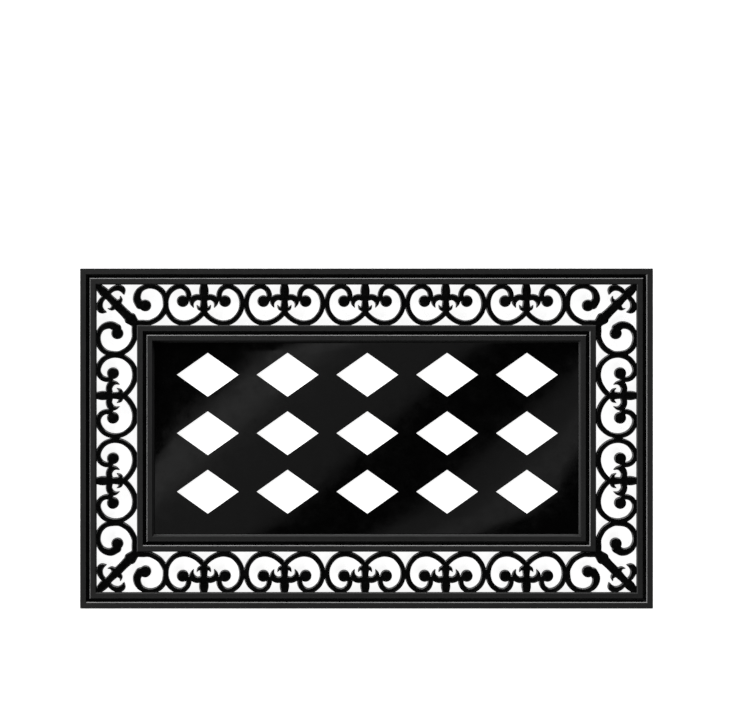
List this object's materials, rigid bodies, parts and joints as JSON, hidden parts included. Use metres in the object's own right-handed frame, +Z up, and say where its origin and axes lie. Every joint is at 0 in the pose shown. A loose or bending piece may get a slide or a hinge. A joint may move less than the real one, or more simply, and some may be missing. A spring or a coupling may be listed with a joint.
{
  "type": "door mat",
  "caption": "Rectangular moulded rubber door mat with grooved rails, an openwork scroll border and a recessed panel pierced by diamond holes.",
  "frame": {"origin": "middle of the mat's underside, on the floor", "axes": "+X along the long side, +Y towards the back long side, +Z up"},
  "size_m": [0.762, 0.4524, 0.011],
  "materials": {
    "rail_rubber": "matt moulded rubber, slightly greyer on its flat strips",
    "scroll_rubber": "black moulded rubber, fine grain",
    "panel_rubber": "smooth black moulded rubber with a soft shine"
  },
  "bodies": {
    "root": {"outer_rail": "rail_rubber", "inner_rail": "rail_rubber", "tray_panel": "panel_rubber", "scroll_back_1": "scroll_rubber", "scroll_back_2": "scroll_rubber", "scroll_back_3": "scroll_rubber", "scroll_back_4": "scroll_rubber", "scroll_back_5": "scroll_rubber", "scroll_front_1": "scroll_rubber", "scroll_front_2": "scroll_rubber", "scroll_front_3": "scroll_rubber", "scroll_front_4": "scroll_rubber", "scroll_front_5": "scroll_rubber", "scroll_left_1": "scroll_rubber", "scroll_left_2": "scroll_rubber", "scroll_right_1": "scroll_rubber", "scroll_right_2": "scroll_rubber", "corner_back_left": "scroll_rubber", "corner_back_right": "scroll_rubber", "corner_front_left": "scroll_rubber", "corner_front_right": "scroll_rubber"}
  },
  "joints": []
}
